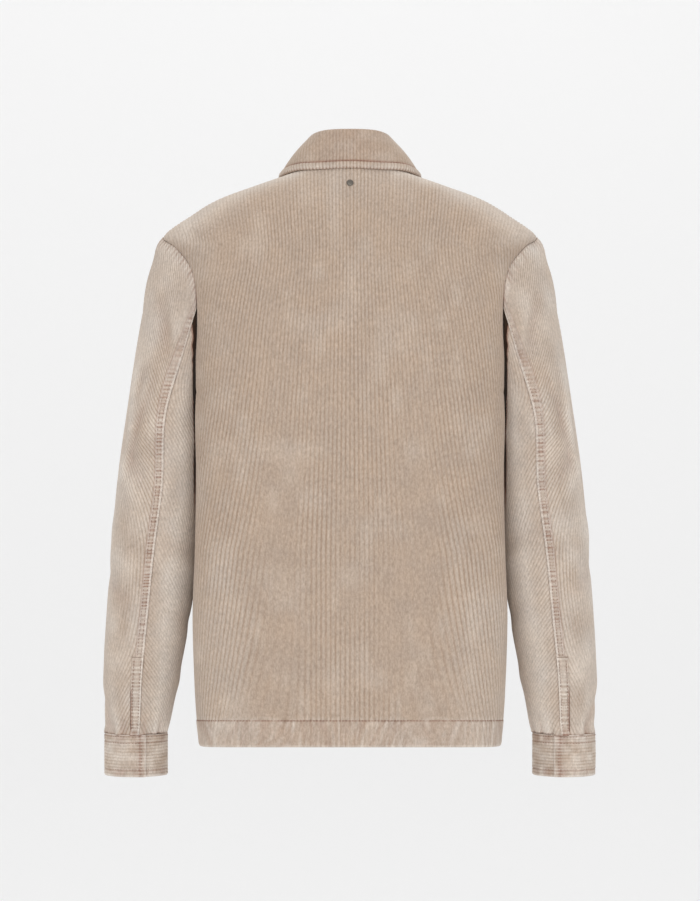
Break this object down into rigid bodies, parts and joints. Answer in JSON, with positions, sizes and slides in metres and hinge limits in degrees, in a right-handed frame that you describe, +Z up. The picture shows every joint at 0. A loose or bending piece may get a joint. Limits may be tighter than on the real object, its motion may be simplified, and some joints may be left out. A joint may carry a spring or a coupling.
{
  "type": "corduroy jacket",
  "caption": "Hip-length ribbed corduroy shirt jacket with turn-down collar, two-piece sleeves, lapped cuffs and a stitched hem, filled out and hollow.",
  "frame": {"origin": "between the shoulders, in the plane of the side seams, at the height where the collar's edge meets the shoulder line", "axes": "+X to the wearer's right, +Y to the wearer's front, +Z up"},
  "size_m": [0.5984, 0.2592, 0.7771],
  "materials": {
    "corduroy": "ribbed pile, matte",
    "horn": "satin",
    "dark_metal": "dull"
  },
  "bodies": {
    "root": {"back": "corduroy", "front_left": "corduroy", "front_right": "corduroy", "sleeve_top_left": "corduroy", "sleeve_top_right": "corduroy", "sleeve_under_left": "corduroy", "sleeve_under_right": "corduroy", "cuff_left": "corduroy", "cuff_right": "corduroy", "placket_left": "corduroy", "placket_right": "corduroy", "collar_stand": "corduroy", "collar_leaf": "corduroy", "button_1": "horn", "button_2": "horn", "button_3": "horn", "button_4": "horn", "button_5": "horn", "button_6": "horn", "neck_stud": "dark_metal"}
  },
  "joints": []
}
